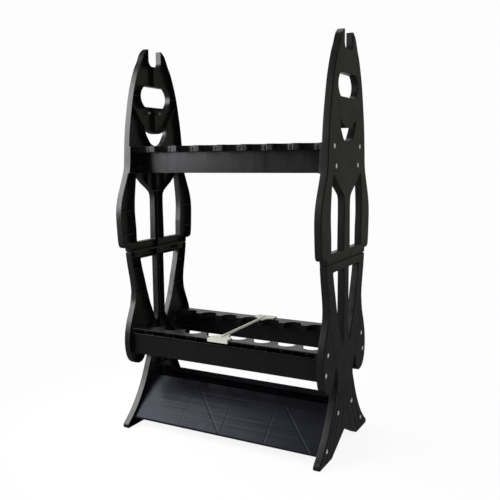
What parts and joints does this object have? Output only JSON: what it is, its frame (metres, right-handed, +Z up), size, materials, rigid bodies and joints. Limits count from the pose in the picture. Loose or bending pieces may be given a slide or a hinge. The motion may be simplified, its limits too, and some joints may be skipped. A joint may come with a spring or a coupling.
{
  "type": "fishing rod rack",
  "caption": "Free-standing rack with two fish-shaped side frames, notched rails at two heights for upright rods, and sloping boards under the rod butts.",
  "frame": {"origin": "centre of the footprint, on the floor", "axes": "+X along the rails towards the right side frame, +Y to the rear, +Z up"},
  "size_m": [0.55, 0.32, 0.97],
  "materials": {
    "side_plastic": "fine-grained moulded charcoal plastic",
    "rail_plastic": "semi-gloss moulded grey plastic",
    "board_plastic": "semi-gloss moulded grey plastic with faint sink marks over its ribs",
    "cream_plastic": "satin moulded cream plastic",
    "screw_steel": "bright zinc-plated steel"
  },
  "bodies": {
    "root": {"upper_panel_left": "side_plastic", "upper_panel_right": "side_plastic", "lower_panel_left": "side_plastic", "lower_panel_right": "side_plastic", "upper_front_rail": "rail_plastic", "upper_rear_rail": "rail_plastic", "lower_front_rail": "rail_plastic", "lower_rear_rail": "rail_plastic", "front_board": "board_plastic", "rear_board": "board_plastic", "tie_bar": "cream_plastic", "upper_front_screws_left": "screw_steel", "upper_front_screws_right": "screw_steel", "upper_rear_screws_left": "screw_steel", "upper_rear_screws_right": "screw_steel", "lower_front_screws_left": "screw_steel", "lower_front_screws_right": "screw_steel", "lower_rear_screws_left": "screw_steel", "lower_rear_screws_right": "screw_steel", "front_board_screws_left": "screw_steel", "front_board_screws_right": "screw_steel", "rear_board_screws_left": "screw_steel", "rear_board_screws_right": "screw_steel", "seam_screws_left": "screw_steel", "seam_screws_right": "screw_steel"}
  },
  "joints": []
}
